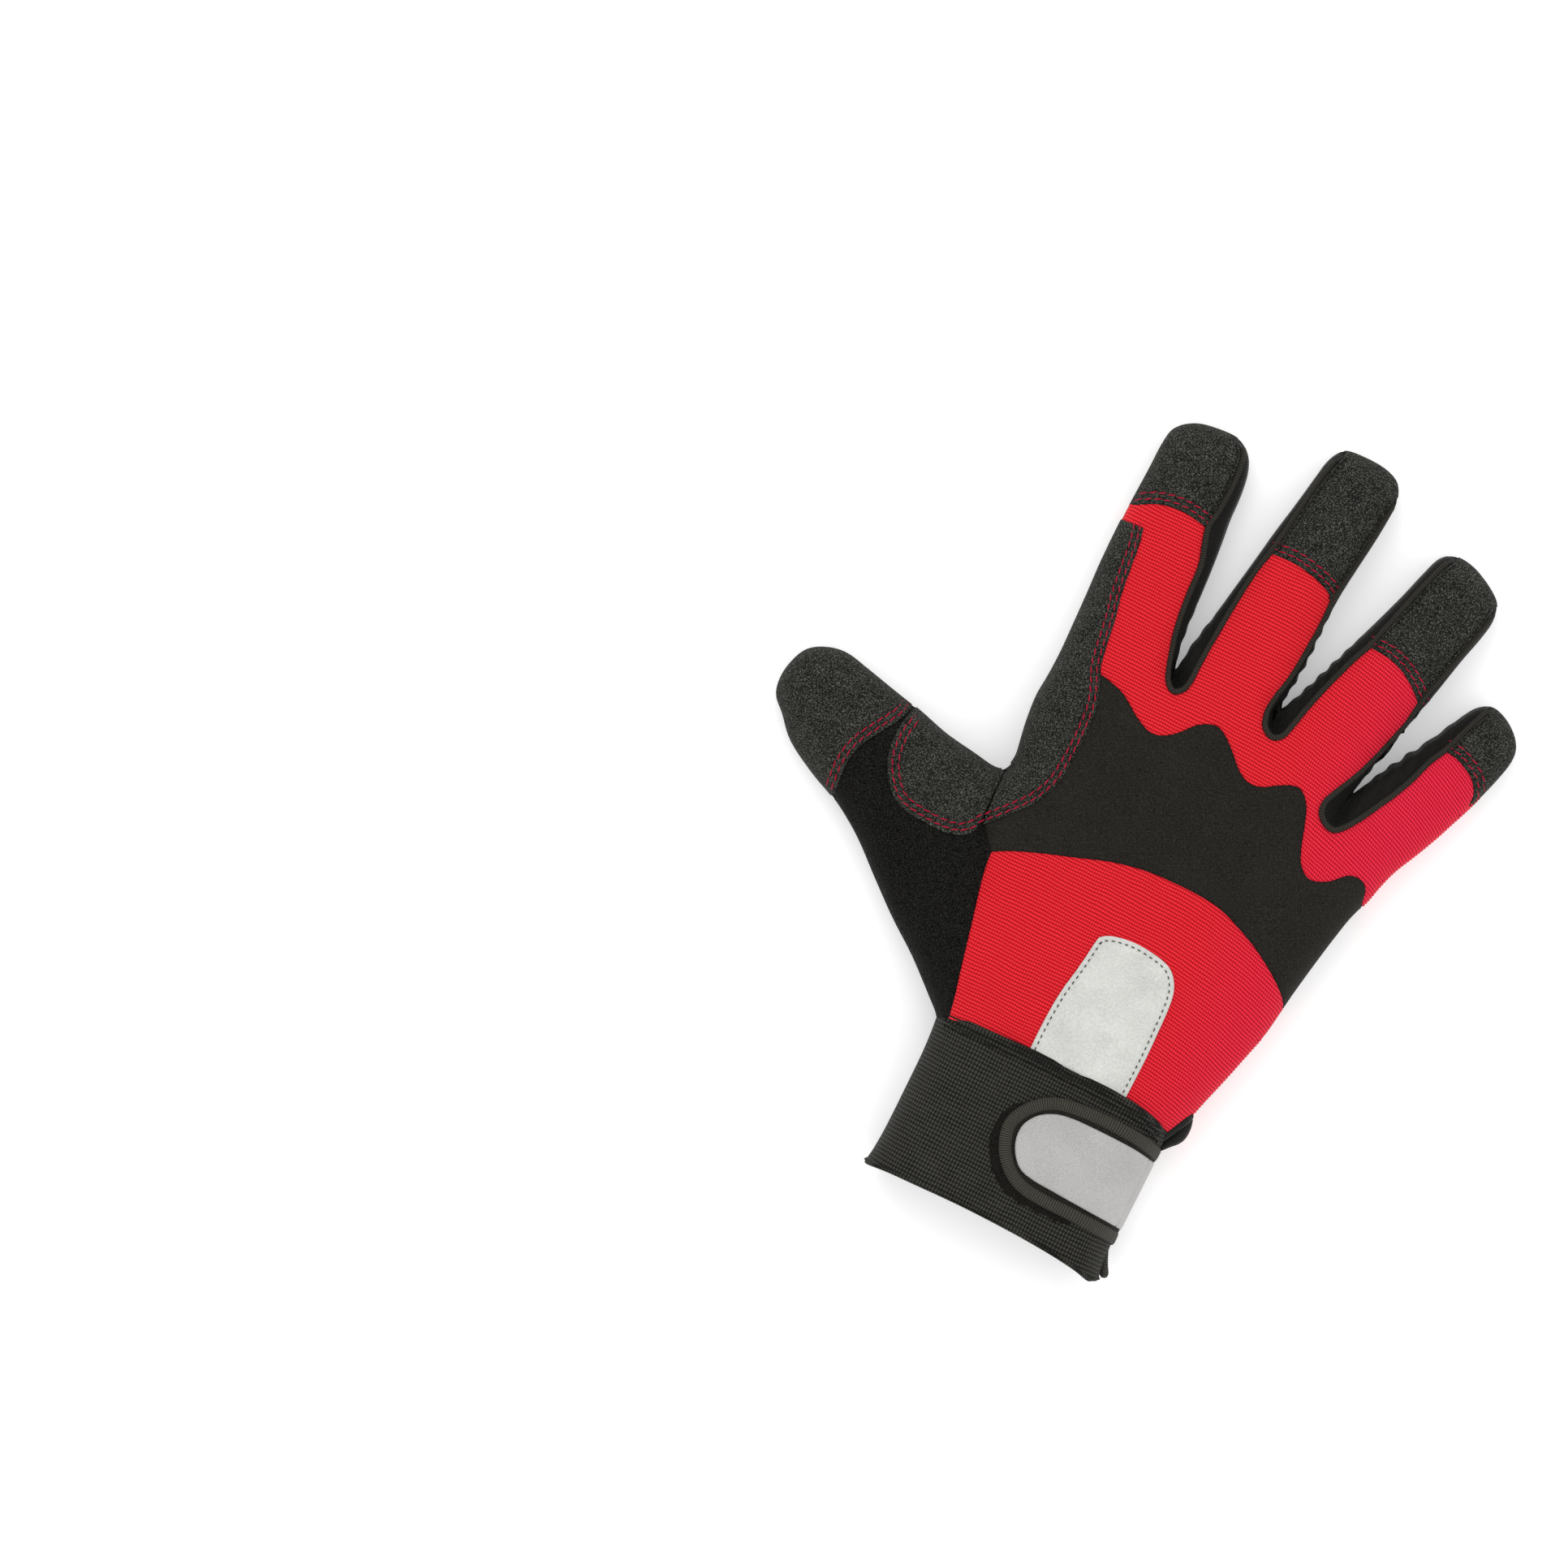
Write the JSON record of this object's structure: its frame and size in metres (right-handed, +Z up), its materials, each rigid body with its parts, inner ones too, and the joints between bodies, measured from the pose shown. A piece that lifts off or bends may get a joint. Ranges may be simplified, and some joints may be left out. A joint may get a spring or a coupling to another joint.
{
  "type": "mechanic glove",
  "caption": "Right-hand work glove with a hollow hand of knit and suede panels, grip patches, an elastic cuff and a closed wrist strap.",
  "frame": {"origin": "middle of the bounding box on the surface that the glove lies on, palm down", "axes": "+Y towards the fingertips, +X towards the little finger, +Z up out of the back of the hand"},
  "size_m": [0.2054, 0.2548, 0.032],
  "materials": {
    "red_knit": "matt rib knit, red",
    "suede": "matt synthetic suede, black",
    "neoprene": "fine matt neoprene, black",
    "dark_knit": "matt stretch knit, black",
    "grip": "speckled grip fabric, grey",
    "grosgrain": "ribbed woven tape, black",
    "elastic": "woven elastic, black",
    "reflective": "satin reflective fabric, silver grey",
    "strap_rubber": "satin moulded rubber, silver grey"
  },
  "bodies": {
    "root": {"palm_panel": "suede", "knuckle_panel": "red_knit", "back_panel": "neoprene", "wrist_panel": "red_knit", "thumb_back": "dark_knit", "thumb_tip": "grip", "side_wall_index_middle": "grosgrain", "side_wall_middle_ring": "grosgrain", "side_wall_ring_little": "grosgrain", "index_side_patch": "grip", "thumb_saddle_patch": "grip", "palm_patch": "grip", "thenar_patch": "grip", "reflective_patch": "reflective", "cuff_band": "elastic", "strap_tab": "grosgrain", "strap_binding": "elastic", "strap_face": "strap_rubber", "slit_binding_back": "suede", "slit_binding_palm": "suede", "pull_tab": "suede", "ulnar_loop": "suede", "index_tip_back": "grip", "index_tip_front": "grip", "index_bar_near": "grip", "index_bar_far": "grip", "middle_tip_back": "grip", "middle_tip_front": "grip", "middle_bar_near": "grip", "middle_bar_far": "grip", "ring_tip_back": "grip", "ring_tip_front": "grip", "ring_bar_near": "grip", "ring_bar_far": "grip", "little_tip_back": "grip", "little_tip_front": "grip", "little_bar_near": "grip", "little_bar_far": "grip"}
  },
  "joints": []
}
